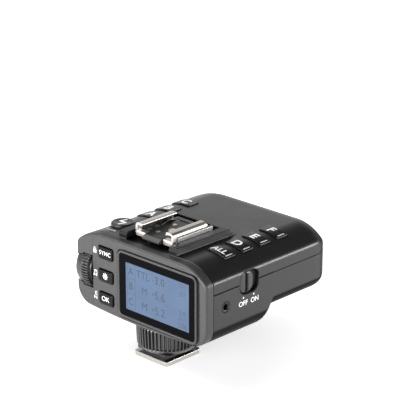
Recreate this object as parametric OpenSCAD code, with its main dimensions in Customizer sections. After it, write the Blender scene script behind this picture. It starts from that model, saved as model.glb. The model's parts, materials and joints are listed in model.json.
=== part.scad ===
// Wireless flash trigger for a camera's hot shoe, in millimetres.
// X runs to the right as the photographer sees it, Y runs forward to the subject, Z runs up.
// The origin is the middle of the metal foot's underside.

/* [Body] */
// Width of the case
body_w = 72; // [64:0.5:80]
// Rear face, measured from the middle of the foot
rear_y = -15.3; // [-18:0.1:-12]
// Front face, measured from the middle of the foot
front_y = 59.7; // [56:0.1:64]
// Height of the flat top
top_z = 49.1; // [44:0.1:54]
// Height of the long seam between the top cover and the lower case
seam_z = 38.65; // [36:0.05:41]
// Underside of the rear part, above the foot
base_z = 16; // [15.8:0.1:17]
// Underside of the stepped-up front part
step_z = 23.6; // [21:0.1:27]
// Rounding of the lower edges of the rear part
low_r = 8.5; // [6:0.5:10]
// Rounding of the lower edges of the front part
under_r = 5.2; // [3:0.1:8]
// Rounding of the front corners, seen from above
corner_r = 12; // [8:0.5:14]
// Rounding of the front edge of the top
nose_r = 9; // [4:0.5:12]
// Width of the sloping shoulder along the top edges
shoulder_w = 14; // [13.5:0.5:14]
// Radius of the shoulder
shoulder_r = 20; // [19:0.1:20.5]
// Wall thickness
wall = 1.8; // [1.4:0.1:2.4]
// Depth of the rear cap
cap_d = 4; // [3:0.1:6]

/* [Display] */
// Left edge of the glass
glass_x0 = -11.2; // [-14:0.1:-6]
// Right edge of the glass
glass_x1 = 30; // [28:0.1:30.4]
// Lower edge of the glass
glass_z0 = 18.8; // [18:0.1:22]
// Upper edge of the glass
glass_z1 = 44.9; // [42:0.1:45.2]
// How far the display frame stands out of the rear face
display_out = 0.4; // [0.2:0.1:1]
// Width of the frame around the glass
frame_w = 1; // [0.5:0.1:1.2]

/* [Keys] */
// Middle of the three rear keys, across
rear_key_x = -18.9; // [-22:0.1:-16]
// Height of the middle rear key
rear_key_z = 32.4; // [30:0.1:34]
// Spacing of the rear keys
rear_key_pitch = 9.7; // [9:0.1:10]
// Distance of the group key columns from the middle
key_x = 24.6; // [23:0.1:25]
// First row of group keys
key_y = 5; // [2:0.5:10]
// Spacing of the group keys
key_pitch = 10; // [8:0.5:12]
// Length of a group key, across the body
key_w = 9.4; // [8:0.1:10]
// Width of a group key, along the body
key_d = 6; // [5:0.1:8]
// Gap around each key
key_gap = 0.3; // [0.2:0.05:0.5]

/* [Select dial] */
// Radius of the thumb wheel
dial_r = 10.4; // [8:0.1:12]
// How far the wheel stands out of the rear face
dial_out = 2.2; // [1:0.1:3]
// Height of the wheel's axis
dial_z = 32.2; // [30:0.1:35]
// Ribs around the wheel
dial_ribs = 56; // [30:2:80]

/* [Flash shoe] */
// Width inside the shoe's rails
shoe_w = 18.7; // [18.6:0.05:18.9]
// Opening between the rails' lips
shoe_open = 12.8; // [12.4:0.1:13.2]
// Slot height under the lips
shoe_slot = 2.3; // [2.1:0.05:2.5]
// Thickness of the rails
rail_t = 1.0; // [0.8:0.1:1.2]
// Rear end of the rails
shoe_y0 = -5.3; // [-8:0.1:-3]
// Front end of the rails
shoe_y1 = 12; // [10:0.1:16]
// Level of the shoe's floor
shoe_z = 52.1; // [50:0.1:54]

/* [Camera foot] */
// Width of the foot plate
foot_w = 18.6; // [18.3:0.05:18.7]
// Length of the foot plate
foot_l = 20; // [17:0.5:22]
// Thickness of the foot plate
foot_t = 2.0; // [1.8:0.05:2.0]
// Width of the neck between the camera's rails
neck_w = 12.2; // [11.5:0.1:12.4]
// Outer radius of the lock ring
ring_r = 12.8; // [11:0.1:14]
// Ribs around the lock ring
ring_ribs = 60; // [40:2:80]

/* [Hidden] */
$fn = 96;
half_w = body_w / 2;
cap_y = rear_y + cap_d;
// angle the shoulder turns through
shoulder_a = 40.3;
// angle, foot and lower round of the sloping step
step_a = 61.4;
step_y0 = 15.6;
step_r = 8;
// upper round of the side, below the shoulder
shoulder_r2 = (shoulder_w - shoulder_r * sin(shoulder_a)) / (1 - sin(shoulder_a));
// where the sloping step meets the underside of the front part
step_y = step_y0 + (step_z - base_z) / tan(step_a);
shoulder_z = top_z - shoulder_r * (1 - cos(shoulder_a)) - shoulder_r2 * cos(shoulder_a);
dial_y = rear_y - dial_out + dial_r;
glass_w = glass_x1 - glass_x0;
glass_h = glass_z1 - glass_z0;
glass_xm = (glass_x0 + glass_x1) / 2;
glass_zm = (glass_z0 + glass_z1) / 2;
switch_y = 8.5;
switch_z = 38.8;
jack_y = -4.6;
jack_z = 32.1;
usb_y = 12;
usb_z = 30;
pocket_z = 48.3;
pod_z = 51.9;
test_x = -24.3;
test_y = -0.6;
test_r = 4.9;
cell_z = 33;
cell_y = [31.4, 46.9];
black = [0.13, 0.13, 0.14];
grey = [0.38, 0.37, 0.37];
steel = [0.82, 0.80, 0.78];
green = [0.1, 0.35, 0.2];
rear_key_zs = [rear_key_z + rear_key_pitch, rear_key_z, rear_key_z - rear_key_pitch];

// ---------- helpers ----------

// prism along Y from a section drawn in X and Z
module along_y(y0, y1) {
    translate([0, y1, 0]) rotate([90, 0, 0]) linear_extrude(y1 - y0) children();
}

// prism along X from a section drawn in Y and Z
module along_x(x0, x1) {
    translate([x0, 0, 0]) rotate([90, 0, 90]) linear_extrude(x1 - x0) children();
}

module rounded(w, h, r) {
    square([w - 2 * r, h], center = true);
    square([w, h - 2 * r], center = true);
    for (x = [-1, 1], y = [-1, 1]) translate([x * (w / 2 - r), y * (h / 2 - r)]) circle(r);
}

module box(x0, x1, y0, y1, z0, z1) {
    translate([x0, y0, z0]) cube([x1 - x0, y1 - y0, z1 - z0]);
}

// half section of the case from its middle (or corner axis) out to the side, set in by t
module half_section(half, z0, r0, t) {
    s = half - shoulder_w;
    r1 = shoulder_r - t;
    square_at(0, s, z0 + t, top_z - t);
    square_at(0, half - r0, z0 + t, shoulder_z);
    square_at(0, half - t, z0 + r0, shoulder_z);
    translate([half - r0, z0 + r0]) circle(r0 - t);
    translate([half - shoulder_r2, shoulder_z]) circle(shoulder_r2 - t);
    intersection() {
        translate([s, top_z - shoulder_r]) circle(r1);
        square_at(s - 0.01, s + r1 * sin(shoulder_a), shoulder_z - 1, top_z);
    }
}

module square_at(x0, x1, z0, z1) {
    translate([x0, z0]) square([x1 - x0, z1 - z0]);
}

module full_section(z0, r0, t) {
    half_section(half_w, z0, r0, t);
    mirror([1, 0]) half_section(half_w, z0, r0, t);
}

// side view of the rear part, with the sloping step up to the front part
module step_section(t) {
    lead = step_r * tan(step_a / 2);
    y1 = step_y0 + 14 / tan(step_a);
    translate([-1.14 * t, t])
        polygon(concat(
            [[rear_y - 5, 60], [rear_y - 5, base_z]],
            [for (a = [0:step_a / 8:step_a + 0.01])
                [step_y0 - lead + step_r * sin(a), base_z + step_r * (1 - cos(a))]],
            [[y1, base_z + 14], [y1, 60]]));
}

// side view of the front part
module nose_section(t) {
    square_at(15, front_y - nose_r, step_z + t, top_z - t);
    square_at(15, front_y - t, step_z + under_r, top_z - nose_r);
    translate([front_y - nose_r, top_z - nose_r]) circle(nose_r - t);
    translate([front_y - under_r, step_z + under_r]) circle(under_r - t);
    square_at(15, front_y - under_r, step_z + t, step_z + under_r + 0.01);
}

// view from above of the front part
module plan(t) {
    square_at(-half_w + corner_r, half_w - corner_r, 0, front_y - t);
    square_at(-half_w - 1, half_w + 1, 0, front_y - corner_r);
    for (s = [-1, 1]) translate([s * (half_w - corner_r), front_y - corner_r]) circle(corner_r - t);
}

// the whole outside form, set in by t, starting at y0
module form(t, y0) {
    intersection() {
        along_y(y0, 26) full_section(base_z, low_r, t);
        along_x(-40, 40) step_section(t);
    }
    intersection() {
        along_y(step_y - 3 * t, front_y + 1) full_section(step_z, under_r, t);
        along_x(-40, 40) nose_section(t);
        linear_extrude(60) plan(t);
    }
}

module dial_cut() {
    translate([-26.5, dial_y, dial_z]) rotate([0, -90, 0]) cylinder(h = 5.2, r = dial_r + 0.4);
    translate([-31.69, dial_y, dial_z]) rotate([0, -90, 0]) cylinder(h = 2.01, r1 = dial_r + 0.4, r2 = dial_r - 0.3);
    translate([-33.69, dial_y, dial_z]) rotate([0, -90, 0]) cylinder(h = 4, r1 = dial_r - 0.3, r2 = dial_r - 1.4);
}

module screw_spots() {
    for (x = [-24, 24], y = [-3.4, 9]) translate([x, y, 0]) children();
}

// ---------- case ----------

module key_slots() {
    for (s = [-1, 1], i = [0:3]) if (s > 0 || i > 0)
        box(s * key_x - key_w / 2 - key_gap, s * key_x + key_w / 2 + key_gap,
            key_y + i * key_pitch - key_d / 2 - key_gap, key_y + i * key_pitch + key_d / 2 + key_gap, 44, 53);
    translate([test_x, test_y, 40]) cylinder(h = 14, r = test_r + key_gap);
    box(-26, -20.6, -8.4, -7.6, 44, 53);
}

module pod() {
    intersection() {
        along_x(-16, 16) polygon([[cap_y + 0.4, 48], [cap_y + 0.4, 50.7], [cap_y + 0.8, 51.5], [cap_y + 1.6, pod_z],
            [18.7, pod_z], [19.4, 51.6], [20.2, 50.8], [21.1, 49.9], [22.1, 49.3], [23.2, 49.05], [23.2, 48]]);
        along_y(-14, 30) translate([0, 45.95]) rounded(30.4, 11.9, 0.9);
    }
}

module top_cover() color(black) {
    difference() {
        union() {
            intersection() {
                form(0, cap_y);
                box(-40, 40, cap_y, 70, seam_z, 60);
            }
            pod();
        }
        intersection() {
            form(wall, cap_y - 5);
            union() {
                box(-40, 40, cap_y - 5, 70, seam_z - 1, 46.8);
                box(-40, -12.6, cap_y - 5, 70, 46.7, 60);
                box(12.6, 40, cap_y - 5, 70, 46.7, 60);
                box(-13, 13, 19, 70, 46.7, 60);
            }
        }
        box(-11.6, 11.6, cap_y - 1, 17.7, pocket_z, 60);
        shoe_screw_spots() cylinder(h = 60, r = 0.75);
        key_slots();
        dial_cut();
        along_x(half_w - 3, half_w + 1) translate([switch_y, switch_z]) rounded(10.8, 9.4, 3.4);
    }
    // raised seat under the shoe
    difference() {
        box(-9.6, 9.6, -5.5, 14.5, 47.2, 50.2);
        shoe_screw_spots() cylinder(h = 60, r = 0.75);
    }
}

module bottom_case() color(black) {
    difference() {
        intersection() {
            form(0, cap_y);
            box(-40, 40, cap_y, 70, 10, seam_z);
        }
        difference() {
            form(wall, cap_y - 5);
            screw_spots() cylinder(h = 30, r = 2.6);
            cylinder(h = 20, r = 10);
        }
        // seat of the foot post
        translate([0, 0, 15]) cylinder(h = 2.9, r = 7.05);
        translate([0, 0, 15]) cylinder(h = 20, r = 6.2);
        // screws
        screw_spots() {
            translate([0, 0, 15]) cylinder(h = 3.4, r = 2);
            cylinder(h = 28, r = 1.0);
            translate([0, 0, 28]) cylinder(h = 12, r = 3);
        }
        dial_cut();
        along_x(half_w - 3, half_w + 1) translate([switch_y, switch_z]) rounded(10.8, 9.4, 3.4);
        translate([half_w - 3, jack_y, jack_z]) rotate([0, 90, 0]) cylinder(h = 5, r = 2.2);
        box(-half_w - 1, -half_w + 3, usb_y - 3.95, usb_y + 3.95, usb_z - 1.5, usb_z + 1.5);
        // front window and battery door
        along_y(front_y - 4, front_y + 1) translate([0, 33]) rounded(16.4, 7.4, 2.2);
        box(-27, 27, 25, 70, 20, 25.4);
        box(-28, 28, 26, 57, 24.3, 25.4);
    }
}

module cap_form() {
    along_y(rear_y + 0.6, cap_y) full_section(base_z, low_r, 0);
    along_y(rear_y, rear_y + 0.7) full_section(base_z, low_r, 0.4);
}

module rear_cap() {
    difference() {
        cap_form();
        along_y(rear_y + 2, cap_y + 1) full_section(base_z, low_r, wall);
        along_y(rear_y - 1, cap_y) translate([glass_xm, glass_zm])
            rounded(glass_w + 2 * frame_w, glass_h + 2 * frame_w, 2.4);
        // groove around the display frame
        along_y(rear_y - 1, rear_y + 0.8) translate([glass_xm + 0.4, glass_zm + 0.15])
            rounded(glass_w + 2 * frame_w + 1.6, glass_h + 2 * frame_w + 0.9, 2.9);
        for (z = rear_key_zs) along_y(rear_y - 1, cap_y) translate([rear_key_x, z])
            rounded(8.2 + 2 * key_gap, 4.8 + 2 * key_gap, 1.1);
        dial_cut();
    }
}

module rear_cover() color(grey) intersection() {
    rear_cap();
    box(-26.4, 40, -20, 0, 10, 60);
}

module dial_cover() color(grey) intersection() {
    rear_cap();
    box(-40, -26.4, -20, 0, 10, 60);
}

// ---------- display ----------

module display_frame() color(grey) difference() {
    along_y(rear_y - display_out, rear_y + 1.9) translate([glass_xm, glass_zm])
        rounded(glass_w + 2 * frame_w, glass_h + 2 * frame_w, 2.4);
    along_y(rear_y - 3, rear_y + 3) translate([glass_xm, glass_zm]) rounded(glass_w, glass_h, 1.6);
}

module display_glass() color([0.05, 0.05, 0.06]) along_y(rear_y - display_out + 0.15, rear_y + 0.3)
    translate([glass_xm, glass_zm]) rounded(glass_w, glass_h, 1.6);

module lcd_panel() color([0.47, 0.57, 0.73]) {
    box(-7.7, 26.8, rear_y + 0.3, rear_y + 1.8, 21.9, 41.7);
}

module lcd_carrier() color([0.9, 0.9, 0.88]) difference() {
    box(glass_x0 + 0.8, glass_x1 - 0.8, rear_y + 0.3, rear_y + 4.6, glass_z0 + 0.8, glass_z1 - 0.8);
    box(-7.7, 26.8, rear_y, rear_y + 1.8, 21.9, 41.7);
    along_x(-30, 40) translate([rear_y + 4.6, 0]) square_at(-0.8, 1, 24, 40);
}

// ---------- rear keys, dial ----------

module rear_key(z) {
    along_y(rear_y - 0.5, rear_y + 2.5) translate([rear_key_x, z]) rounded(8.2, 4.8, 0.9);
    along_y(rear_y + 2.4, rear_y + 3.1) translate([rear_key_x, z]) rounded(9.6, 6.2, 0.9);
    along_y(rear_y + 3, rear_y + 4.9) translate([rear_key_x, z]) circle(1.2);
}

module sync_key() color(black) rear_key(rear_key_zs[0]);
module lamp_key() color(black) rear_key(rear_key_zs[1]);
module ok_key() color(black) rear_key(rear_key_zs[2]);

module rear_board() color(green) difference() {
    box(-21.9, 30, -8.2, -7, 18.6, 45);
    box(-11, 11, -9, -6, 18, 22.5);
    along_y(-9, -6) for (z = [22, 43]) translate([28.4, z]) circle(1.1);
}

module dome(h) {
    cylinder(h = 0.9, r = 2);
    cylinder(h = h, r = 1.3);
}

module dome_switches() color(steel) {
    for (z = rear_key_zs) translate([rear_key_x, -8.2, z]) rotate([90, 0, 0]) dome(1.5);
    for (s = [-1, 1], i = [0:3]) if (s > 0 || i > 0)
        translate([s * (key_x - 1), key_y + i * key_pitch, 42.2]) dome(1.5);
    translate([test_x, test_y, 42.2]) dome(1.5);
}

module select_dial() color(black) {
    translate([-27, dial_y, dial_z]) rotate([0, -90, 0]) {
        difference() {
            cylinder(h = 4.5, r = dial_r);
            for (i = [0:dial_ribs - 1]) rotate(i * 360 / dial_ribs)
                translate([dial_r - 0.25, -0.2, -1]) cube([1, 0.4, 6]);
        }
        rotate_extrude() polygon([[0, 4.4], [dial_r - 0.5, 4.4], [dial_r - 0.5, 5.1], [dial_r - 0.7, 6.4],
            [dial_r - 1.2, 7.8], [dial_r - 2, 8.8], [dial_r - 3, 9.2], [0, 9.2]]);
    }
    translate([-28, dial_y, dial_z]) rotate([0, 90, 0]) cylinder(h = 5.5, r = 1.5);
}

module dial_encoder() color([0.25, 0.25, 0.27]) difference() {
    box(-25.4, -22.2, dial_y - 3.9, dial_y + 5, dial_z - 1.8, dial_z + 7.8);
    translate([-26, dial_y, dial_z]) rotate([0, 90, 0]) cylinder(h = 3.6, r = 1.55);
}

// ---------- top keys ----------

module group_key(s, i) {
    x = s * key_x;
    y = key_y + i * key_pitch;
    intersection() {
        along_y(y - key_d / 2, y + key_d / 2) full_section(base_z, low_r, -0.35);
        box(x - key_w / 2, x + key_w / 2, y - 4, y + 4, 45.6, 52);
    }
    box(x - s - 4, x - s + 4, y - key_d / 2 - 0.8, y + key_d / 2 + 0.8, 45, 45.7);
    translate([x - s, y, 44.6]) cylinder(h = 1, r = 1.5);
}

module all_key() color(black) group_key(1, 0);
module d_key() color(black) group_key(1, 1);
module e_key() color(black) group_key(1, 2);
module f_key() color(black) group_key(1, 3);
module a_key() color(black) group_key(-1, 1);
module b_key() color(black) group_key(-1, 2);
module c_key() color(black) group_key(-1, 3);

module test_key() color(black) translate([test_x, test_y, 0]) {
    translate([0, 0, 45.2]) cylinder(h = 4.5, r = test_r);
    translate([0, 0, 49.7]) cylinder(h = 0.5, r1 = test_r, r2 = test_r - 0.5);
    translate([0, 0, 45]) cylinder(h = 0.3, r = test_r + 0.6);
    translate([0, 0, 44.6]) cylinder(h = 1, r = 1.5);
}

module status_lamp() color([0.8, 0.85, 0.95]) intersection() {
    along_y(-8.4, -7.6) full_section(base_z, low_r, 0);
    box(-26, -20.6, -9, -7, 46.5, 50);
}

module key_boards() color(green) {
    box(17.5, 30, -4, 40, 41, 42.2);
    box(-30, -17.5, 4, 40, 41, 42.2);
    box(-26.3, -17.5, -6.6, 4, 41, 42.2);
}

// ---------- flash shoe ----------

module shoe_screw_spots() {
    for (x = [-7.2, 7.2], y = [-2.6, 2]) translate([x, y, 0]) children();
}

module shoe_bracket() color(steel) difference() {
    along_y(-4.8, 14.2) {
        square_at(-11.2, 11.2, 50.2, 51.1);
        for (s = [-1, 1]) translate([s * 10.8, 52.1]) rounded(0.8, 3.4, 0.35);
    }
    shoe_screw_spots() cylinder(h = 60, r = 0.75);
}

module rail_section() {
    o = shoe_w / 2 + rail_t;
    zt = shoe_z + shoe_slot + rail_t;
    square_at(4.9, o - 0.3, shoe_z - 1, shoe_z);
    square_at(o - rail_t, o, shoe_z - 0.7, zt - 1.6);
    intersection() {
        difference() {
            translate([o - 1.6, zt - 1.6]) circle(1.6);
            translate([o - 1.6, zt - 1.6]) circle(0.6);
        }
        square_at(o - 1.6, o, zt - 1.6, zt);
    }
    square_at(shoe_open / 2 + 0.5, o - 1.6, zt - rail_t, zt);
    translate([shoe_open / 2 + 0.5, zt - 0.5]) circle(0.5);
}

module shoe_rails() color(steel) difference() {
    for (s = [0, 1]) mirror([s, 0, 0]) {
        along_y(shoe_y0, shoe_y1) rail_section();
        box(4.9, 9.9, shoe_y0 - 2, shoe_y0 + 0.1, shoe_z - 1, shoe_z);
        box(4.9, 9.9, shoe_y0 - 2, shoe_y0 - 1, shoe_z - 2.2, shoe_z - 0.9);
    }
    shoe_screw_spots() {
        cylinder(h = 53, r = 0.75);
        translate([0, 0, shoe_z - 0.7]) cylinder(h = 1, r = 1.25);
    }
}

module contact_spots() {
    translate([0, 2.8, 0]) children(0);
    for (x = [-2.6, 2.6]) {
        translate([x, -2.4, 0]) children(1);
        translate([x * 1.3, 7.6, 0]) children(1);
    }
}

module shoe_plate() color(black) difference() {
    along_x(-4.75, 4.75) polygon([[-9.3, 50.3], [-9.3, shoe_z - 1], [-7.6, shoe_z], [14.2, shoe_z],
        [14.2, shoe_z - 1], [-5, shoe_z - 1], [-5, 50.3]]);
    contact_spots() {
        translate([0, 0, shoe_z - 0.7]) cylinder(h = 2, r = 1.6);
        translate([0, 0, shoe_z - 0.7]) cylinder(h = 2, r = 0.95);
    }
}

module shoe_contacts() color([0.9, 0.8, 0.5]) contact_spots() {
    translate([0, 0, shoe_z - 0.7]) cylinder(h = 0.8, r = 1.6);
    translate([0, 0, shoe_z - 0.7]) cylinder(h = 0.8, r = 0.95);
}

module shoe_spring() color(steel) {
    for (s = [-1, 1]) along_x(s * 6.8 - 1.6, s * 6.8 + 1.6) polygon([[4, shoe_z], [6.5, shoe_z + 0.2],
        [8.5, shoe_z + 0.75], [10, shoe_z + 0.8], [11.4, shoe_z + 0.3], [11.9, shoe_z], [14.6, shoe_z],
        [14.6, shoe_z + 0.3], [12, shoe_z + 0.3], [11.6, shoe_z + 0.6], [10.1, shoe_z + 1.1],
        [8.4, shoe_z + 1.05], [6.4, shoe_z + 0.5], [4, shoe_z + 0.3]]);
    box(-8.4, 8.4, 12.6, 14.6, shoe_z, shoe_z + 0.3);
}

module shoe_screws() color(steel) shoe_screw_spots() {
    translate([0, 0, shoe_z - 0.7]) cylinder(h = 0.75, r = 1.2);
    translate([0, 0, 46.9]) cylinder(h = 5, r = 0.73);
}

// ---------- camera foot ----------

module foot_outline(w, l, rear_c, front_c) {
    polygon([[-w / 2 + rear_c, -l / 2], [w / 2 - rear_c, -l / 2], [w / 2, -l / 2 + rear_c],
        [w / 2, l / 2 - front_c], [w / 2 - front_c, l / 2], [-w / 2 + front_c, l / 2],
        [-w / 2, l / 2 - front_c], [-w / 2, -l / 2 + rear_c]]);
}

module foot_screw_spots() {
    for (x = [-4.4, 4.4], y = [-7, 7]) translate([x, y, 0]) children();
}

pin_spots = [[-2.6, -4.4], [2.6, -4.4], [-4.4, -1.6], [4.4, -1.6]];

module foot_plate() color(steel) difference() {
    linear_extrude(foot_t) foot_outline(foot_w, foot_l, 0.9, 2.2);
    translate([0, -1.2, -1]) linear_extrude(5) rounded(12.2, 8.2, 1);
    foot_screw_spots() {
        translate([0, 0, -0.01]) cylinder(h = 0.7, r1 = 1.4, r2 = 0.75);
        cylinder(h = 3, r = 0.75);
    }
}

module foot_insulator() color(black) difference() {
    translate([0, -1.2, 0]) linear_extrude(foot_t) rounded(12.2, 8.2, 1);
    translate([0, 0, -1]) cylinder(h = 4, r = 1.05);
    for (p = pin_spots) translate([p[0], p[1], -1]) cylinder(h = 4, r = 0.6);
}

module foot_post() color(black) difference() {
    union() {
        intersection() {
            translate([-neck_w / 2, -8.5, foot_t]) cube([neck_w, 17, 1.9]);
            cylinder(h = 5, r = 9.9);
        }
        translate([0, 0, 3.8]) cylinder(h = 2.3, r = 6.1);
        translate([0, 0, 6]) cylinder(h = 11.85, r = 7);
        translate([0, 0, 17.8]) cylinder(h = 4.4, r = 6.1);
    }
    translate([0, 0, 1]) cylinder(h = 1.9, r = 1.05);
    translate([0, 0, 2.8]) cylinder(h = 2.4, r = 1.5);
    for (p = pin_spots) translate([p[0], p[1], 0]) {
        translate([0, 0, 1]) cylinder(h = 1.9, r = 0.6);
        translate([0, 0, 2.8]) cylinder(h = 2.4, r = 0.95);
    }
    foot_screw_spots() cylinder(h = 3.4, r = 0.75);
    translate([0, 0, 8]) cylinder(h = 16, r = 3.5);
}

module foot_nut() color(steel) translate([0, 0, 20.05]) difference() {
    cylinder(h = 1.8, r = 9, $fn = 6);
    translate([0, 0, -1]) cylinder(h = 4, r = 6.14);
}

module foot_screws() color(steel) foot_screw_spots() {
    cylinder(h = 0.66, r1 = 1.38, r2 = 0.74);
    cylinder(h = 3.3, r = 0.74);
}

module pin(r, head) {
    translate([0, 0, -0.5]) cylinder(h = 3.5, r = r);
    translate([0, 0, 2.9]) cylinder(h = 0.7, r = head);
}

module centre_pin() color([0.9, 0.8, 0.5]) pin(1, 1.4);
module data_pin_1() color([0.9, 0.8, 0.5]) translate(pin_spots[0]) pin(0.55, 0.85);
module data_pin_2() color([0.9, 0.8, 0.5]) translate(pin_spots[1]) pin(0.55, 0.85);
module data_pin_3() color([0.9, 0.8, 0.5]) translate(pin_spots[2]) pin(0.55, 0.85);
module data_pin_4() color([0.9, 0.8, 0.5]) translate(pin_spots[3]) pin(0.55, 0.85);

module clamp_plate() color(black) difference() {
    union() {
        translate([0, 0, 3.4]) linear_extrude(0.95) foot_outline(foot_w - 1.4, foot_l - 1.6, 1, 2.6);
        translate([0, 0, 4.3]) cylinder(h = 0.9, r = 9.9);
    }
    translate([-neck_w / 2 - 0.15, -8.65, 3]) cube([neck_w + 0.3, 17.3, 4]);
}

module lock_ring() color(black) difference() {
    union() {
        translate([0, 0, 4.4]) cylinder(h = 1.6, r1 = ring_r - 1.6, r2 = ring_r - 0.5);
        translate([0, 0, 5.9]) cylinder(h = 8.7, r1 = ring_r - 0.5, r2 = ring_r);
        translate([0, 0, 14.5]) cylinder(h = 0.9, r1 = ring_r - 0.1, r2 = ring_r - 0.8);
    }
    translate([0, 0, 4]) cylinder(h = 12, r = 7.05);
    translate([0, 0, 4]) cylinder(h = 1.3, r = 10.1);
    for (i = [0:ring_ribs - 1]) rotate(i * 360 / ring_ribs)
        translate([ring_r - 1.05, -0.32, 6.1]) cube([2, 0.64, 8]);
}

// ---------- switch, sockets ----------

module power_knob() color(grey) {
    difference() {
        along_x(half_w - 2.6, half_w - 0.3) translate([switch_y - 1.2, switch_z]) rounded(8, 8.9, 3.2);
        box(half_w - 1.1, half_w + 1, switch_y - 2.1, switch_y - 0.9, 34.6, 43.6);
    }
    along_x(half_w - 1.5, half_w + 0.3) translate([switch_y - 0.4, switch_z]) rounded(0.9, 7.4, 0.4);
    box(half_w - 4.4, half_w - 2.5, switch_y - 2.2, switch_y - 0.2, switch_z - 1, switch_z + 1);
}

module power_switch() color(steel) difference() {
    box(half_w - 7.5, half_w - 3.2, switch_y - 5.5, switch_y + 5.5, switch_z - 3.2, switch_z + 2);
    box(half_w - 5, half_w - 2, switch_y - 2.6, switch_y + 2.6, switch_z - 1.3, switch_z + 1.3);
}

module sync_socket() color(black) difference() {
    union() {
        translate([half_w - 3, jack_y, jack_z]) rotate([0, 90, 0]) cylinder(h = 3.1, r = 2.15);
        box(half_w - 12, half_w - 2.1, jack_y - 2.4, jack_y + 2.4, jack_z - 2.4, jack_z + 2.4);
    }
    translate([half_w - 11, jack_y, jack_z]) rotate([0, 90, 0]) cylinder(h = 13, r = 1.25);
}

module usb_socket() color(steel) difference() {
    along_x(-half_w + 0.1, -half_w + 6) translate([usb_y, usb_z]) rounded(7.8, 2.9, 0.6);
    along_x(-half_w - 1, -half_w + 5.5) translate([usb_y, usb_z]) rounded(7.1, 2.2, 0.4);
}

module front_window() color([0.35, 0.02, 0.03])
    along_y(front_y - 2.2, front_y - 0.05) translate([0, 33]) rounded(16, 7, 2);

module front_lamp() color([0.8, 0.1, 0.1]) {
    translate([0, front_y - 3, 33]) rotate([90, 0, 0]) cylinder(h = 1.4, r = 2);
    translate([0, front_y - 2.4, 33]) rotate([90, 0, 0]) cylinder(h = 1, r = 1.6);
}

// ---------- power and electronics ----------

module battery_door() color(black) {
    intersection() {
        form(0, cap_y);
        box(-26.8, 26.8, 25.2, 70, 20, 25.2);
    }
    for (s = [-1, 1]) box(min(s * 26.5, s * 27.7), max(s * 26.5, s * 27.7), 27, 50, 24.5, 25.2);
}

module battery_cradle() color([0.2, 0.2, 0.22]) difference() {
    box(-29.4, 29.4, 23.4, 55, 30, 40.8);
    for (y = cell_y) translate([-27.2, y, cell_z]) rotate([0, 90, 0]) cylinder(h = 54.4, r = 7.4);
    for (y = cell_y) box(-27.2, 27.2, y - 7.4, y + 7.4, 29, cell_z);
}

module battery_cells() color([0.85, 0.5, 0.15]) for (i = [0, 1]) translate([0, cell_y[i], cell_z]) mirror([i, 0, 0])
    rotate([0, 90, 0]) {
        translate([0, 0, -25.2]) cylinder(h = 49.2, r = 7.2);
        cylinder(h = 25.2, r = 2.7);
    }

module battery_contacts() color(steel) for (x = [-27.1, 26.7], y = cell_y)
    box(x, x + 0.4, y - 4, y + 4, 29.4, 37);

module battery_springs() color(steel) for (i = [0, 1]) translate([0, cell_y[i], cell_z]) mirror([i, 0, 0])
    translate([-26.7, 0, 0]) rotate([0, 90, 0]) for (k = [0:2])
        translate([0, 0, 0.25 + k * 0.48]) rotate_extrude() translate([3.6 - k * 0.35, 0]) circle(0.25);

module main_board() color(green) difference() {
    box(-25, 32.5, -5.9, 20.6, 26.4, 27.6);
    screw_spots() translate([0, 0, 20]) cylinder(h = 12, r = 3);
}

module radio_module() color(steel) {
    box(-16, 2, 1, 17, 27.6, 30);
    box(8, 17, 4, 13, 27.6, 28.6);
    box(-20.8, -18.2, -1, 17, 27.6, 28.2);
}

module case_screws() color(steel) screw_spots() {
    translate([0, 0, 17]) cylinder(h = 1.4, r = 1.9);
    translate([0, 0, 18.2]) cylinder(h = 8, r = 0.98);
}

top_cover();
bottom_case();
rear_cover();
dial_cover();
display_frame();
display_glass();
lcd_panel();
lcd_carrier();
sync_key();
lamp_key();
ok_key();
rear_board();
dome_switches();
select_dial();
dial_encoder();
all_key();
d_key();
e_key();
f_key();
a_key();
b_key();
c_key();
test_key();
status_lamp();
key_boards();
shoe_bracket();
shoe_rails();
shoe_plate();
shoe_contacts();
shoe_spring();
shoe_screws();
foot_plate();
foot_insulator();
foot_post();
foot_nut();
foot_screws();
centre_pin();
data_pin_1();
data_pin_2();
data_pin_3();
data_pin_4();
clamp_plate();
lock_ring();
power_knob();
power_switch();
sync_socket();
usb_socket();
front_window();
front_lamp();
battery_door();
battery_cradle();
battery_cells();
battery_contacts();
battery_springs();
main_board();
radio_module();
case_screws();
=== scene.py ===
import json
import math

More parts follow.
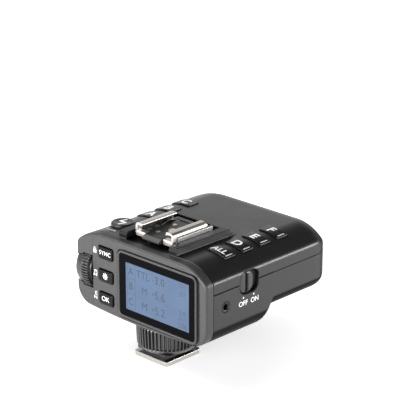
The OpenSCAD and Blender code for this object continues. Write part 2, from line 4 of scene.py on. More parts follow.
import bmesh
import bpy
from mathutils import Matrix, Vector


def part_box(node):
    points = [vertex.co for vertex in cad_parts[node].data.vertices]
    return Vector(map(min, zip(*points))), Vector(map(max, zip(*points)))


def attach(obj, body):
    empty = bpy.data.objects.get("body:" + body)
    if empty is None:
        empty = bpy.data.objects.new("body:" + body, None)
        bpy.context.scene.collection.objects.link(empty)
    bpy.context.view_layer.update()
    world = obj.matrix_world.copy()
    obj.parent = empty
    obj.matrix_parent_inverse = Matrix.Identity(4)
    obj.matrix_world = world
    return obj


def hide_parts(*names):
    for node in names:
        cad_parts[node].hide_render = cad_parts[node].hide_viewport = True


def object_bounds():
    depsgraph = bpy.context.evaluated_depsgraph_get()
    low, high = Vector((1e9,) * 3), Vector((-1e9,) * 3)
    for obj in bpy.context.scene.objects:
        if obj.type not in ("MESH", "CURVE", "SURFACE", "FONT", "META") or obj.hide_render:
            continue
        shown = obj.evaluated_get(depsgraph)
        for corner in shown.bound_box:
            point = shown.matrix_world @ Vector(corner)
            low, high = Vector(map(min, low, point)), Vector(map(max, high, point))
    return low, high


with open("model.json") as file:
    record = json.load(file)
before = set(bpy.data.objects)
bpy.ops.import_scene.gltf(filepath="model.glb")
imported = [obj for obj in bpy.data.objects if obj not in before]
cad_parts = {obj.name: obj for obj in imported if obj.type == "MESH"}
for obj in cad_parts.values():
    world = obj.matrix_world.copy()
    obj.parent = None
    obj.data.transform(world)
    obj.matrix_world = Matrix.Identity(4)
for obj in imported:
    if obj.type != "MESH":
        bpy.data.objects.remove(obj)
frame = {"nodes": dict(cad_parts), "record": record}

cad_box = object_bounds()

# Lengths below are in millimetres; MM turns them into Blender's metres.
MM = 0.001


def node_box(node):
    """Lowest and highest corner of a CAD node, in millimetres."""
    low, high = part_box(node)
    return low / MM, high / MM


def node_centre(node):
    low, high = node_box(node)
    return (low + high) / 2


# ---------- driving dimensions, read from the frame ----------

case_low, case_high = node_box("bottom_case")
cap_low, cap_high = node_box("rear_cover")
glass_low, glass_high = node_box("display_glass")
panel_low, panel_high = node_box("lcd_panel")
rail_low, rail_high = node_box("shoe_rails")
ring_low, ring_high = node_box("lock_ring")
foot_low, foot_high = node_box("foot_plate")
dial_low, dial_high = node_box("select_dial")
door_low, door_high = node_box("battery_door")
knob_low, knob_high = node_box("power_knob")

HALF_W = case_high.x
FRONT_Y = case_high.y
REAR_Y = cap_low.y
SPLIT_Y = cap_high.y
BASE_Z = case_low.z
STEP_Z = door_low.z
SEAM_Z = case_high.z
TOP_Z = cap_high.z

# Section of the case: flat top, wide shoulder, small round into the side, lower corner, bowed base
SHOULDER_W = 14.0
SHOULDER_R = 20.0
SIDE_R = 3.0
SHOULDER_A = math.asin((SHOULDER_W - SIDE_R) / (SHOULDER_R - SIDE_R))
SIDE_DROP = (SHOULDER_R - SIDE_R) * (1 - math.cos(SHOULDER_A)) + SIDE_R
LOW_R = 7.5
UNDER_R = 5.2
BOW_R = 365.0
CORNER_R = 12.0
NOSE_R = 9.0
WALL = 1.6

# The sloping step between the deep rear part and the shallow front part
STEP_Y = 10.85
STEP_R = 8.0
STEP_A = math.radians(61.4)

# The seam along the sides and the split across the case: half the gap, and how the edges beside it roll in
SEAM_GAP = 0.07
SEAM_ROLL = 0.22
SPLIT_GAP = 0.06
SPLIT_IN = 0.14
SPLIT_ROLL = 0.25

KEY_GAP = 0.3
POCKET_HALF_W = 11.6
POCKET_FRONT_Y = 17.7
POCKET_FLOOR_Z = 48.3
POST_HOLE_R = 7.1
DOOR_HALF_W = 26.8
DOOR_REAR_Y = 25.2
DOOR_GAP = 0.2
CASE_SCREWS = [(x, y) for x in (-24, 24) for y in (-3.4, 9)]


# ---------- materials ----------

def node_material(name):
    material = bpy.data.materials.new(name)
    material.use_nodes = True
    tree = material.node_tree
    shader = tree.nodes["Principled BSDF"]
    return material, tree, shader


def plug(socket, value):
    """Sets an input to a constant, or links it to another node's output."""
    if isinstance(value, bpy.types.NodeSocket):
        socket.id_data.links.new(value, socket)
    else:
        socket.default_value = value


def feed(node, **inputs):
    """Sets inputs by their names, with _ for a space."""
    for name, value in inputs.items():
        plug(node.inputs[name.replace("_", " ")], value)
    return node


def add_node(tree, kind, **inputs):
    return feed(tree.nodes.new(kind), **inputs)


def coordinates(tree, kind="Object"):
    return tree.nodes.new("ShaderNodeTexCoord").outputs[kind]


def noise(tree, scale, detail=2.0, roughness=0.5):
    """Noise over the object's own metres; scale is in features per metre."""
    texture = add_node(tree, "ShaderNodeTexNoise", Vector=coordinates(tree), Scale=scale, Detail=detail,
                       Roughness=roughness)
    return texture.outputs["Fac"]


def ramp(tree, source, low, high, start=0.3, end=0.7):
    """Maps a 0 to 1 value onto a range of greys or colours."""
    node = add_node(tree, "ShaderNodeValToRGB", Fac=source)
    for stop, place, value in zip(node.color_ramp.elements, (start, end), (low, high)):
        stop.position = place
        stop.color = (*value, 1) if isinstance(value, tuple) else (value, value, value, 1)
    return node.outputs["Color"]


def bump(tree, source, strength, height):
    node = add_node(tree, "ShaderNodeBump", Strength=strength, Distance=height, Height=source)
    return node.outputs["Normal"]


def shade(colour, factor):
    return tuple(channel * factor for channel in colour)


def shade_by_facing(tree, full, painted_shade_fades):
    """A value that falls away on faces turned one way; used on the gloss level it is painted shade, dimming
    the reflection of those faces to stand in for the shade they lie in.

    A fade is an axis, the normal along it that has almost none of the value and the normal that has it all.
    """
    parts = add_node(tree, "ShaderNodeSeparateXYZ", Vector=coordinates(tree, "Normal"))
    level = full
    for axis, start, end in painted_shade_fades:
        spread = add_node(tree, "ShaderNodeMapRange", Value=parts.outputs[axis], From_Min=start, From_Max=end,
                          To_Min=0.03)
        spread.interpolation_type = "SMOOTHSTEP"
        level = product(tree, spread.outputs["Result"], level)
    return level


def product(tree, *factors):
    node = tree.nodes.new("ShaderNodeMath")
    node.operation = "MULTIPLY"
    for socket, factor in zip(node.inputs, factors):
        plug(socket, factor)
    return node.outputs["Value"]


def plastic(name, colour, roughness, grain=4500, grain_strength=0.25, speckle=0.12, specular=0.5, painted_shade_fades=()):
    """Moulded plastic with a spark-eroded grain and slight variation in colour and gloss, and painted shade
    that dims its reflection on faces turned one way.
    """
    material, tree, shader = node_material(name)
    fine = noise(tree, grain, 2.0, 0.6)
    feed(shader, Base_Color=ramp(tree, fine, shade(colour, 1 - speckle), shade(colour, 1 + speckle)),
         Roughness=ramp(tree, noise(tree, 60, 3.0), roughness - 0.02, roughness + 0.02),
         Specular_IOR_Level=shade_by_facing(tree, specular, painted_shade_fades) if painted_shade_fades else specular,
         Normal=bump(tree, fine, grain_strength, 0.00004))
    return material


def metal(name, colour, roughness, stretch=(1, 1, 1), scratch=0.08):
    """Metal with fine drawn scratches; stretch sets their direction."""
    material, tree, shader = node_material(name)
    drawn = add_node(tree, "ShaderNodeMapping", Vector=coordinates(tree), Scale=stretch)
    texture = add_node(tree, "ShaderNodeTexNoise", Vector=drawn.outputs["Vector"], Scale=1500, Detail=3)
    lines = texture.outputs["Fac"]
    feed(shader, Base_Color=ramp(tree, lines, shade(colour, 0.93), shade(colour, 1.05)), Metallic=1.0,
         Roughness=ramp(tree, lines, roughness - 0.02, roughness + 0.03),
         Normal=bump(tree, lines, scratch, 0.00001))
    return material


def glowing(name, colour, strength, roughness=0.25):
    """A lit surface with a very slight unevenness, as a back light gives; on the white print, which has no
    light of its own, the glow is painted light.
    """
    material, tree, shader = node_material(name)
    patches = ramp(tree, noise(tree, 90), shade(colour, 0.94), shade(colour, 1.06))
    feed(shader, Base_Color=patches, Emission_Color=patches, Emission_Strength=strength,
         Roughness=roughness, Specular_IOR_Level=0.1)
    return material


# Painted shade: the case's reflection is dimmed on faces turned down and on faces turned forward, standing in
# for the dark underside and front.
CASE = plastic("case_plastic", (0.013, 0.0122, 0.013), 0.29, painted_shade_fades=(("Z", -0.18, 0.0), ("Y", 0.36, 0.0)))
GUARD = plastic("guard_plastic", (0.010, 0.0095, 0.010), 0.33, specular=0.3)
CAP = plastic("cap_plastic", (0.039, 0.037, 0.037), 0.42, 2600, 0.45, 0.3)
KEY = plastic("key_plastic", (0.009, 0.009, 0.010), 0.24, 5000, 0.15)
REAR_KEY = plastic("rear_key_plastic", (0.005, 0.005, 0.006), 0.22, 5000, 0.05, 0.08, 0.15)
KNOB = plastic("knob_plastic", (0.035, 0.034, 0.036), 0.35)
# Painted shade: the dial's reflection is dimmed on faces turned out to the left, standing in for its dark
# domed face.
DIAL = plastic("dial_plastic", (0.012, 0.012, 0.013), 0.22, 5000, 0.08, 0.1, 0.7, (("X", -0.6, -0.1),))
RING = plastic("ring_plastic", (0.016, 0.0155, 0.0155), 0.26, 5000, 0.08, 0.1, 1.0)
BLACK = plastic("shoe_plastic", (0.010, 0.010, 0.011), 0.36, 4000, 0.3)
INNER = plastic("inner_plastic", (0.006, 0.006, 0.007), 0.6)
BORDER = plastic("display_border", (0.003, 0.003, 0.004), 0.12, 3000, 0.02, 0.05, 0.02)
BOARD = plastic("board", (0.02, 0.12, 0.05), 0.35, 3000, 0.2, 0.2)
JACKET = plastic("cell_jacket", (0.45, 0.16, 0.03), 0.35, 3000, 0.1, 0.1)
RED = plastic("red_window", (0.11, 0.003, 0.005), 0.1, 2000, 0.02, 0.1, 0.25)
# Painted light: the white print glows faintly, though it is no lamp, to stand in for the light falling on it.
GLOWING_PRINT = glowing("print_white_glowing", (0.88, 0.88, 0.88), 0.3, 0.5)
SEGMENT = plastic("lcd_segment", (0.034, 0.045, 0.066), 0.5, 3000, 0.02, 0.05, 0.3)
SEGMENT_PALE = plastic("lcd_segment_pale", (0.055, 0.072, 0.100), 0.5, 3000, 0.02, 0.05, 0.3)
CHROME = metal("chrome", (0.74, 0.695, 0.65), 0.36, (1, 0.06, 1), 0.03)
STEEL = metal("steel", (0.42, 0.41, 0.41), 0.36, (1, 0.1, 1), 0.05)
SPRING = metal("spring_steel", (0.13, 0.12, 0.11), 0.4, (1, 0.1, 1), 0.05)
# Painted shade: a darker copy of the chrome for the foot plate, so that it gives back less of the bright
# floor's light.
SHADED_FOOT_CHROME = metal("foot_chrome_shaded", (0.56, 0.535, 0.505), 0.14, (1, 1, 0.1), 0.03)
GOLD = metal("gold", (0.80, 0.72, 0.58), 0.3)
LCD = glowing("lcd", (0.056, 0.083, 0.134), 0.75, 0.4)
LAMP = glowing("lamp", (0.62, 0.64, 0.68), 0.2)

NODE_LOOKS = {
    "case_plastic": CASE, "cap_plastic": CAP, "key_plastic": KEY, "knob_plastic": KNOB,
    "display_glass": BORDER, "lcd": LCD, "chrome": CHROME, "steel": STEEL, "gold": GOLD,
    "shoe_plastic": BLACK, "ring_plastic": RING, "board": BOARD, "lamp": LAMP,
    "red_window": RED, "cell_jacket": JACKET, "inner_plastic": INNER,
}


def dress_nodes():
    """Gives every CAD node the material of its slot."""
    for part in frame["record"]["subparts"]:
        data = frame["nodes"][part["node"]].data
        data.materials.clear()
        data.materials.append(NODE_LOOKS[part["material_slot"]])


# ---------- mesh helpers ----------

def new_object(name, data):
    made = bpy.data.objects.new(name, data)
    bpy.context.scene.collection.objects.link(made)
    return made


def object_of(work, name):
    """A new object from a bmesh, which is then freed."""
    mesh = bpy.data.meshes.new(name)
    work.to_mesh(mesh)
    work.free()
    return new_object(name, mesh)


def mesh_object(name, points, faces):
    """A new object from points in millimetres."""
    mesh = bpy.data.meshes.new(name)
    mesh.from_pydata([tuple(c * MM for c in p) for p in points], [], faces)
    work = bmesh.new()
    work.from_mesh(mesh)
    bmesh.ops.recalc_face_normals(work, faces=work.faces)
    work.to_mesh(mesh)
    work.free()
    return new_object(name, mesh)


def ring_object(name, rings, closed=False):
    """A skin over rings of equal length, capped at both ends or closed from the last ring to the first."""
    count, total = len(rings[0]), len(rings)
    points = [p for ring in rings for p in ring]
    faces = []
    for j in range(total if closed else total - 1):
        near, far = j * count, (j + 1) % total * count
        for i in range(count):
            k = (i + 1) % count
            faces.append((near + i, near + k, far + k, far + i))
    if not closed:
        faces.append(tuple(reversed(range(count))))
        faces.append(tuple(range((total - 1) * count, total * count)))
    return mesh_object(name, points, faces)


def bake(piece):
    """Applies the piece's modifiers."""
    graph = bpy.context.evaluated_depsgraph_get()
    mesh = bpy.data.meshes.new_from_object(piece.evaluated_get(graph))
    piece.modifiers.clear()
    piece.data = mesh
    return piece


def remove(piece):
    bpy.data.objects.remove(piece, do_unlink=True)


def boolean(piece, cutter, operation="DIFFERENCE"):
    """Cuts a piece with another, or takes their sum or what they share, and removes the other."""
    modifier = piece.modifiers.new("cut", "BOOLEAN")
    modifier.operation = operation
    modifier.object = cutter
    modifier.solver = "EXACT"
    bake(piece)
    remove(cutter)


def join(name, pieces):
    """One object holding the meshes of several."""
    work = bmesh.new()
    for piece in pieces:
        work.from_mesh(piece.data)
        remove(piece)
    return object_of(work, name)


def bevel(piece, width, segments=3, angle=30):
    modifier = piece.modifiers.new("bevel", "BEVEL")
    modifier.width = width * MM
    modifier.segments = segments
    modifier.limit_method = "ANGLE"
    modifier.angle_limit = math.radians(angle)
    modifier.use_clamp_overlap = True
    return bake(piece)


def smooth(piece, angle):
    """Smooth shading that keeps the edges sharper than angle."""
    work = bmesh.new()
    work.from_mesh(piece.data)
    for face in work.faces:
        face.smooth = True
    for edge in work.edges:
        edge.smooth = len(edge.link_faces) == 2 and edge.calc_face_angle(0) < math.radians(angle)
    work.to_mesh(piece.data)
    work.free()
    modifier = piece.modifiers.new("normals", "WEIGHTED_NORMAL")
    modifier.keep_sharp = True


def place(piece, material, slot, body="root", replaces=(), angle=32):
    """Finishes a piece: shading, material, body and the CAD nodes it stands for; the slot argument is not
    used.
    """
    piece.data.materials.clear()
    piece.data.materials.append(material)
    smooth(piece, angle)
    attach(piece, body)
    if replaces:
        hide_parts(*replaces)


def arc(cu, cv, radius, start, end, steps):
    """Points on an arc, angles in degrees."""
    angles = [math.radians(start + (end - start) * i / steps) for i in range(steps + 1)]
    return [(cu + radius * math.cos(a), cv + radius * math.sin(a)) for a in angles]


def circle(radius, steps=48):
    return arc(0, 0, radius, 0, 360, steps)[:-1]


def rounded(width, height, radius, steps=6):
    """A rectangle with round corners, centred on the origin, anticlockwise."""
    radius = max(min(radius, width / 2 - 0.001, height / 2 - 0.001), 0.001)
    half_w, half_h = width / 2 - radius, height / 2 - radius
    points = []
    for k, (sx, sy) in enumerate(((1, 1), (-1, 1), (-1, -1), (1, -1))):
        points += arc(sx * half_w, sy * half_h, radius, 90 * k, 90 * k + 90, steps)
    return points


def grown(width, height, radius, least=0.0, steps=6):
    """Outline of a round-cornered rectangle for any offset; its corners keep at least the least radius."""
    return lambda offset: rounded(width + 2 * offset, height + 2 * offset, max(radius + offset, least), steps)


def grown_circle(radius, steps=48):
    return lambda offset: circle(radius + offset, steps)


def loft(name, outline, levels, lift, closed=False):
    """A solid from an outline and its (offset, height) levels; lift places a point in space."""
    rings = [[lift(u, v, height) for u, v in outline(offset)] for offset, height in levels]
    return ring_object(name, rings, closed)


def prism(name, outline, axis, low, high, edge=0.0, segments=3):
    """An outline pushed along an axis; X takes (y, z), Y takes (x, z) and Z takes (x, y)."""
    order = {"X": lambda u, v, w: (w, u, v), "Y": lambda u, v, w: (u, w, v), "Z": lambda u, v, w: (u, v, w)}
    rings = [[order[axis](u, v, w) for u, v in outline] for w in (low, high)]
    piece = ring_object(name, rings)
    return bevel(piece, edge, segments) if edge else piece


def shifted(outline, du, dv):
    return [(u + du, v + dv) for u, v in outline]


def mirrored(right):
    """A closed outline from its right half; points on the middle line come once."""
    return right + [(-u, v) for u, v in reversed(right) if u]


def box_outline(u0, u1, v0, v1):
    return [(u0, v0), (u1, v0), (u1, v1), (u0, v1)]


# ---------- lettering and marks ----------

def text_shape(words, height, spacing=1.0, weight=0.0):
    """Points and faces of a line of text, centred, capitals of the given height."""
    curve = bpy.data.curves.new("text", "FONT")
    curve.body = words
    curve.space_character = spacing
    curve.offset = weight
    curve.resolution_u = 6
    holder = new_object("text", curve)
    bpy.context.view_layer.update()
    mesh = bpy.data.meshes.new_from_object(holder.evaluated_get(bpy.context.evaluated_depsgraph_get()))
    remove(holder)
    cap_height = 0.69
    xs = [v.co.x for v in mesh.vertices]
    middle = (min(xs) + max(xs)) / 2
    k = height / cap_height
    points = [((v.co.x - middle) * k, (v.co.y - cap_height / 2) * k) for v in mesh.vertices]
    faces = [tuple(p.vertices) for p in mesh.polygons]
    bpy.data.meshes.remove(mesh)
    return points, faces


def filled(outline):
    return outline, [tuple(range(len(outline)))]


def disc_shape(radius):
    return filled(circle(radius, 20))


def bar_shape(width, height):
    return filled(box_outline(-width / 2, width / 2, -height / 2, height / 2))


def moved(shape, du, dv, turn=0.0, scale=1.0):
    c, s = math.cos(math.radians(turn)) * scale, math.sin(math.radians(turn)) * scale
    return [(du + u * c - v * s, dv + u * s + v * c) for u, v in shape[0]], shape[1]


def stroke_shape(path, width):
    """A thick line of square segments along a path."""
    shapes = []
    for (u0, v0), (u1, v1) in zip(path, path[1:]):
        length = math.hypot(u1 - u0, v1 - v0)
        turn = math.degrees(math.atan2(v1 - v0, u1 - u0))
        shapes.append(moved(bar_shape(length + width * 0.7, width), (u0 + u1) / 2, (v0 + v1) / 2, turn))
    return merged(shapes)


def merged(shapes):
    points, faces = [], []
    for shape_points, shape_faces in shapes:
        start = len(points)
        points += shape_points
        faces += [tuple(start + i for i in face) for face in shape_faces]
    return points, faces


def mark(name, shape, lift, height=0.012, thickness=0.03, slice_width=0.0):
    """A printed mark: a thin solid on the surface that lift gives, in slices where it follows a curve."""
    points, faces = shape
    work = bmesh.new()
    made = [work.verts.new((u, v, 0)) for u, v in points]
    for face in faces:
        if len(set(face)) > 2:
            try:
                work.faces.new([made[i] for i in face])
            except ValueError:
                pass
    bmesh.ops.remove_doubles(work, verts=work.verts, dist=1e-5)
    bmesh.ops.recalc_face_normals(work, faces=work.faces)
    if slice_width:
        low = min(p[0] for p in points)
        high = max(p[0] for p in points)
        for i in range(1, int((high - low) / slice_width) + 1):
            bmesh.ops.bisect_plane(work, geom=work.verts[:] + work.edges[:] + work.faces[:],
                                   plane_co=(low + i * slice_width, 0, 0), plane_no=(1, 0, 0))
    for face in work.faces:
        if face.normal.z < 0:
            face.normal_flip()
    top = work.faces[:]
    grown = bmesh.ops.extrude_face_region(work, geom=top)
    raised = [g for g in grown["geom"] if isinstance(g, bmesh.types.BMVert)]
    for vertex in raised:
        vertex.co.z = thickness
    bmesh.ops.reverse_faces(work, faces=top)
    for vertex in work.verts:
        vertex.co = Vector(lift(vertex.co.x, vertex.co.y, height - thickness + vertex.co.z)) * MM
    bmesh.ops.recalc_face_normals(work, faces=work.faces)
    return object_of(work, name)


# ---------- the case ----------

def smooth_min(a, b, soft):
    """The lesser of two heights, blended where they come within soft of each other."""
    mix = min(max(0.5 + (b - a) / soft / 2, 0), 1)
    return b + (a - b) * mix - soft * mix * (1 - mix)


def rounding(y, radius, inset):
    """How far a face falls back at y for a front edge of this radius."""
    along = y - (FRONT_Y - radius)
    if along <= 0:
        return 0
    return radius - inset - math.sqrt(max((radius - inset) ** 2 - along ** 2, 0))


def rounded_low(x, half, base, radius, inset):
    """Height of a base with a rounded lower corner, at x from the middle."""
    beyond = x - (half - radius)
    if beyond <= 0:
        return base + inset
    return base + radius - math.sqrt(max((radius - inset) ** 2 - beyond ** 2, 0))


def slope_height(y):
    """Height of the sloping step, with the round that leads into it."""
    knee = STEP_Y + STEP_R * math.sin(STEP_A)
    if y <= STEP_Y:
        return BASE_Z
    if y <= knee:
        return BASE_Z + STEP_R * (1 - math.sqrt(1 - ((y - STEP_Y) / STEP_R) ** 2))
    return BASE_Z + STEP_R * (1 - math.cos(STEP_A)) + (y - knee) * math.tan(STEP_A)


def low_height(x, y, half, inset):
    """Height of the underside: the deep rear part, cut off by the slope, joined to the shallow front part."""
    bowed = min(x, half - LOW_R) ** 2 / 2 / BOW_R
    rear = rounded_low(x, half, BASE_Z + bowed, LOW_R, inset)
    slope = slope_height(y + inset) + inset
    soft = min(max(slope - BASE_Z - inset, 0.001) / 4, 0.8)
    rise = rounding(y, UNDER_R, inset)
    front = rounded_low(x, half, STEP_Z + rise, UNDER_R - 0.35 * rise, inset)
    return smooth_min(-smooth_min(-rear, -slope, soft), front, 0.7)


def station(y, inset=0.0):
    """Closed outline of the case at one place along its length, from the middle of the top to the right."""
    half = HALF_W - rounding(y, CORNER_R, inset)
    top = TOP_Z - rounding(y, NOSE_R, inset)
    flat = half - SHOULDER_W
    turn = 90 - math.degrees(SHOULDER_A)
    top_steps, shoulder_steps, side_steps, corner_steps = 5, 18, 8, 16
    right = [(flat * i / top_steps, top - inset) for i in range(top_steps)]
    right += arc(flat, top - SHOULDER_R, SHOULDER_R - inset, 90, turn, shoulder_steps)
    side_z = top - SIDE_DROP
    right += arc(half - SIDE_R, side_z, SIDE_R - inset, turn, 0, side_steps)[1:]
    side_low = low_height(half - inset, y, half, inset)
    right += [(half - inset, side_z + (side_low - side_z) * i / side_steps) for i in range(1, side_steps)]
    across = [u for u, _ in arc(half - LOW_R, 0, LOW_R - inset, 0, 90, corner_steps)]
    across += [(half - LOW_R) * (1 - i / side_steps) for i in range(1, side_steps + 1)]
    right += [(x, low_height(x, y, half, inset)) for x in across]
    return [(x, y, z) for x, z in mirrored(right)]


def case_places(inset):
    """Places along the case, closer together where its form changes."""
    places = [SPLIT_Y + SPLIT_ROLL, -9, -5, -1, 3, 7]
    places += [STEP_Y + 0.45 * i for i in range(30)]
    places += [25, 28, 31, 34, 37, 40, 44]
    corner = arc(0, FRONT_Y - CORNER_R, CORNER_R - inset, 0, 90, 18)
    return places + [y for _, y in corner]


def case_shell():
    """Top cover and lower case together: inner skin, rim at the rear and outer skin."""
    inner = [station(y, WALL) for y in reversed(case_places(WALL))]
    outer = [station(SPLIT_Y + SPLIT_GAP, SPLIT_IN)] + [station(y) for y in case_places(0)]
    return ring_object("case_shell", inner + outer)


def half_shell(shell, name, upper):
    """One side of the long seam, with its edge rolled in."""
    work = bmesh.new()
    work.from_mesh(shell.data)
    sign = 1 if upper else -1
    edge = SEAM_Z + sign * SEAM_GAP
    for height, cut in ((edge, True), (edge + sign * SEAM_ROLL, False)):
        bmesh.ops.bisect_plane(work, geom=work.verts[:] + work.edges[:] + work.faces[:],
                               plane_co=(0, 0, height * MM), plane_no=(0, 0, sign), clear_inner=cut)
    bmesh.ops.holes_fill(work, edges=[e for e in work.edges if e.is_boundary], sides=0)
    work.normal_update()
    for vertex in [v for v in work.verts if abs(v.co.z / MM - edge) < 0.01]:
        vertex.co -= Vector((vertex.normal.x, vertex.normal.y, 0)).normalized() * SEAM_ROLL * MM
    bmesh.ops.recalc_face_normals(work, faces=work.faces)
    return object_of(work, name)


def surface_z(x):
    """Height of the case's top at a distance from the middle."""
    beyond = abs(x) - (HALF_W - SHOULDER_W)
    if beyond <= 0:
        return TOP_Z
    reach = SHOULDER_R * math.sin(SHOULDER_A)
    if beyond <= reach:
        return TOP_Z - SHOULDER_R + math.sqrt(SHOULDER_R ** 2 - beyond ** 2)
    return TOP_Z - SIDE_DROP + math.sqrt(max(SIDE_R ** 2 - (abs(x) - HALF_W + SIDE_R) ** 2, 0))


def on_top(x, y):
    """Lifts an outline onto the case's top, around a centre."""
    return lambda u, v, height: (x + u, y + v, surface_z(x + u) + height)


def on_rear(x, z):
    """Lifts an outline onto the rear face; heights stand out of the face."""
    return lambda u, v, height: (x + u, REAR_Y - height, z + v)


def on_right(y, z):
    """Lifts an outline onto the right side; u runs forward and v up."""
    return lambda u, v, height: (HALF_W + height, y + u, z + v)


def on_left(y, z, x=-HALF_W):
    """Lifts an outline onto a face that looks left; u runs forward and v up."""
    return lambda u, v, height: (x - height, y + u, z + v)


def top_of(node):
    centre = node_centre(node)
    return on_top(centre.x, centre.y)


def rear_of(node):
    centre = node_centre(node)
    return on_rear(centre.x, centre.z)


def right_of(node):
    centre = node_centre(node)
    return on_right(centre.y, centre.z)


def on_front(z):
    """Lifts an outline onto the front, in the middle."""
    return lambda u, v, height: (u, FRONT_Y + height, z + v)


def on_level(x, y, z):
    """Lifts an outline onto a level face that looks up."""
    return lambda u, v, height: (x + u, y + v, z + height)


def on_base(x, y, z):
    """Lifts an outline onto a level face that looks down."""
    return lambda u, v, height: (x + u, y + v, z - height)


def hole(outline, lift, depth, chamfer=0.14):
    """Cutter for a hole: straight above the surface, a small chamfer, then straight down."""
    return loft("hole", outline, [(chamfer, 1.5), (chamfer, 0.01), (0, -chamfer), (0, -depth)], lift)


TOP_KEYS = {"all_key": "ALL", "d_key": "D", "e_key": "E", "f_key": "F",
            "a_key": "A", "b_key": "B", "c_key": "C"}
key_low, key_high = node_box("d_key")
KEY_W = key_high.x - key_low.x
KEY_D = 6.0
TEST_R = 4.9


def key_outline(offset):
    """Outline of a group key, its straight edges divided so that it can follow the curve of the top."""
    corner_steps, parts = 4, 10
    corners = grown(KEY_W, KEY_D, 0.45, 0.05, corner_steps)(offset)
    outline = []
    for i, (u, v) in enumerate(corners):
        outline.append((u, v))
        if i % (corner_steps + 1) == corner_steps:
            next_u, next_v = corners[(i + 1) % len(corners)]
            for k in range(1, parts):
                outline.append((u + (next_u - u) * k / parts, v + (next_v - v) * k / parts))
    return outline


def key_spots():
    """Name and middle of every group key."""
    for node in TOP_KEYS:
        low, high = node_box(node)
        yield node, (low.x + high.x) / 2, (low.y + high.y) / 2


DIAL_R = (dial_high.z - dial_low.z) / 2
dial_centre = node_centre("select_dial")


def dial_cutter():
    """The round pocket in which the thumb dial turns."""
    r = DIAL_R
    levels = [(r + 0.4, 26.5), (r + 0.4, 31.9), (r - 0.1, 32.4), (r - 0.2, 33.6), (r - 0.4, 34.6),
              (r - 0.75, 35.4), (r - 1.3, 36.1), (r - 1.8, 38)]
    lift = on_left(dial_centre.y, dial_centre.z, 0)
    return loft("dial_cutter", lambda radius: circle(radius, 96), levels, lift)


SWITCH_Y = knob_low.y + 5.2
SWITCH_Z = (knob_low.z + knob_high.z) / 2
switch_outline = grown(10.8, 9.4, 3.6, steps=8)


def switch_hole():
    return hole(switch_outline, on_right(SWITCH_Y, SWITCH_Z), 3, 0.25)


def shoe_pocket(floor):
    """The space in which the flash shoe lies, open at the rear."""
    outline = box_outline(-POCKET_HALF_W, POCKET_HALF_W, floor, 60)
    return prism("pocket", outline, "Y", SPLIT_Y - 4, POCKET_FRONT_Y)


def top_cover(shell):
    cover = half_shell(shell, "top_cover_shell", True)
    cutters = [hole(lambda o: key_outline(o + KEY_GAP), on_top(x, y), 4) for _, x, y in key_spots()]
    cutters += [hole(grown_circle(TEST_R + KEY_GAP), top_of("test_key"), 4),
                hole(lambda o: rounded(5.6 + 2 * o, 1.0 + 2 * o, 0.3), top_of("status_lamp"), 4, 0.06),
                switch_hole(), shoe_pocket(POCKET_FLOOR_Z)]
    boolean(cover, join("cover_cutters", cutters))
    boolean(cover, dial_cutter())
    place(cover, CASE, "case_plastic", replaces=["top_cover"])


def shoe_guard():
    """Raised block round the flash shoe: two flared guards and the slope that runs into the top."""
    top, foot = 51.9, POCKET_FLOOR_Z
    rear = SPLIT_Y + 0.6
    half = [(0, foot), (16.4, foot), (16.3, foot + 0.6), *arc(16.4, foot + 1.2, 0.5, 262, 184, 5),
            (15.6, top - 0.8), *arc(15.0, top - 0.6, 0.6, 10, 90, 6)]
    block = prism("shoe_guard", mirrored(half), "Y", rear, 23)
    slope = arc(22.9, 53.1, 4.0, 200, 270, 10)
    side = [(rear - 0.1, foot + 0.1), (23.1, foot + 0.1), *reversed(slope), (18.6, top + 0.1),
            *arc(rear + 1.5, top - 1.45, 1.5, 90, 180, 6)]
    boolean(block, prism("profile", side, "X", -18, 18), "INTERSECT")
    boolean(block, shoe_pocket(foot - 2))
    bevel(block, 0.25, 3, 50)
    place(block, GUARD, "case_plastic")


def door_space(gap, top):
    """All that lies between the door's sides and in front of its rear edge, up to a height."""
    half = DOOR_HALF_W + gap
    return prism("door_space", box_outline(-half, half, DOOR_REAR_Y - gap, FRONT_Y + 10), "Z", 15, top)


def bottom_case(shell):
    case = half_shell(shell, "bottom_case_shell", False)
    port = node_centre("usb_socket")
    window = node_centre("front_window")
    cutters = [switch_hole(),
               hole(grown_circle(2.25, 40), right_of("sync_socket"), 3, 0.12),
               hole(grown(8.1, 3.2, 1.0), on_left(port.y, port.z), 4, 0.25),
               hole(grown(16.4, 7.4, 2.2), on_front(window.z), 3, 0.25)]
    cutters += [hole(grown_circle(2.0, 32), on_base(x, y, BASE_Z + 0.8), 1.4, 0.2) for x, y in CASE_SCREWS]
    cutters.append(hole(grown_circle(POST_HOLE_R), on_base(0, 0, BASE_Z), 3, 0.3))
    boolean(case, join("case_cutters", cutters))
    boolean(case, dial_cutter())
    boolean(case, door_space(DOOR_GAP, door_high.z + 0.25))
    place(case, CASE, "case_plastic", replaces=["bottom_case"])


def battery_door(shell):
    """The sliding door under the front: the case's own outer form between its edges, with grip grooves."""
    door = half_shell(shell, "battery_door_shell", False)
    boolean(door, door_space(0, door_high.z), "INTERSECT")
    grooves = []
    for i in range(5):
        outline = shifted(rounded(14 - 1.2 * abs(i - 2), 0.7, 0.3, 4), 0, 32 + 1.8 * i)
        grooves.append(prism("groove", outline, "Z", STEP_Z - 1, STEP_Z + 0.35))
    boolean(door, join("door_grooves", grooves))
    place(door, CASE, "case_plastic", "battery_door", ["battery_door"])


# ---------- the rear cap ----------

def face_of(low, high):
    """Middle and size of a box as seen from behind."""
    return (low.x + high.x) / 2, (low.z + high.z) / 2, high.x - low.x, high.z - low.z


